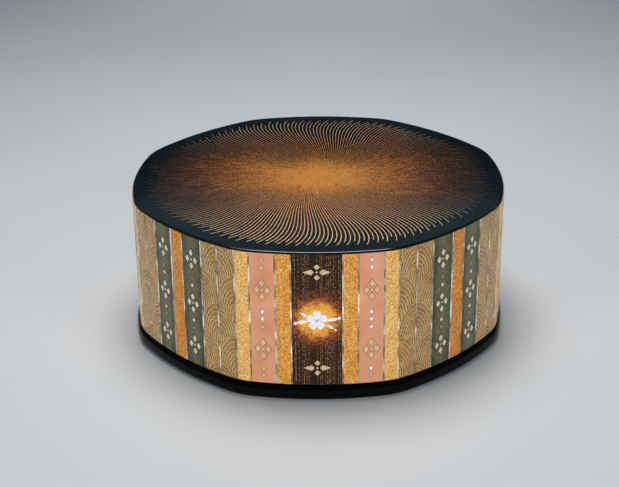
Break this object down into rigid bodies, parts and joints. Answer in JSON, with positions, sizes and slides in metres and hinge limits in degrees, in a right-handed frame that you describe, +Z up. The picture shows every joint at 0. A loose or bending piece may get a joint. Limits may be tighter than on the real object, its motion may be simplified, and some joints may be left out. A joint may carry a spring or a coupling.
{
  "type": "octagonal lacquer box",
  "caption": "Low octagonal lacquer box with bowed faces and rounded corners; a deep lift-off lid with striped inlaid walls covers a tray on a black plinth.",
  "frame": {"origin": "centre of the underside of the plinth, on the surface that the box stands on", "axes": "+Z up through the middle of the lid; -Y is the face that the picture shows in front"},
  "size_m": [0.2848, 0.2848, 0.1136],
  "materials": {
    "black_lacquer": "wood core under polished black lacquer",
    "decorated_lacquer": "wood core under polished lacquer in gold, pink, olive and tan bands",
    "silver_strip": "bright silver strip, hammered and rubbed"
  },
  "bodies": {
    "root": {"body": "black_lacquer", "lid": "decorated_lacquer", "strip_01": "silver_strip", "strip_02": "silver_strip", "strip_03": "silver_strip", "strip_04": "silver_strip", "strip_05": "silver_strip", "strip_06": "silver_strip", "strip_07": "silver_strip", "strip_08": "silver_strip", "strip_09": "silver_strip", "strip_10": "silver_strip", "strip_11": "silver_strip", "strip_12": "silver_strip", "strip_13": "silver_strip", "strip_14": "silver_strip", "strip_15": "silver_strip", "strip_16": "silver_strip", "strip_17": "silver_strip", "strip_18": "silver_strip", "strip_19": "silver_strip", "strip_20": "silver_strip", "strip_21": "silver_strip", "strip_22": "silver_strip", "strip_23": "silver_strip", "strip_24": "silver_strip", "strip_25": "silver_strip", "strip_26": "silver_strip", "strip_27": "silver_strip", "strip_28": "silver_strip", "strip_29": "silver_strip", "strip_30": "silver_strip", "strip_31": "silver_strip", "strip_32": "silver_strip", "strip_33": "silver_strip", "strip_34": "silver_strip", "strip_35": "silver_strip", "strip_36": "silver_strip", "strip_37": "silver_strip", "strip_38": "silver_strip", "strip_39": "silver_strip", "strip_40": "silver_strip", "strip_41": "silver_strip", "strip_42": "silver_strip", "strip_43": "silver_strip", "strip_44": "silver_strip", "strip_45": "silver_strip", "strip_46": "silver_strip", "strip_47": "silver_strip", "strip_48": "silver_strip", "strip_49": "silver_strip", "strip_50": "silver_strip", "strip_51": "silver_strip", "strip_52": "silver_strip", "strip_53": "silver_strip", "strip_54": "silver_strip", "strip_55": "silver_strip", "strip_56": "silver_strip"}
  },
  "joints": []
}
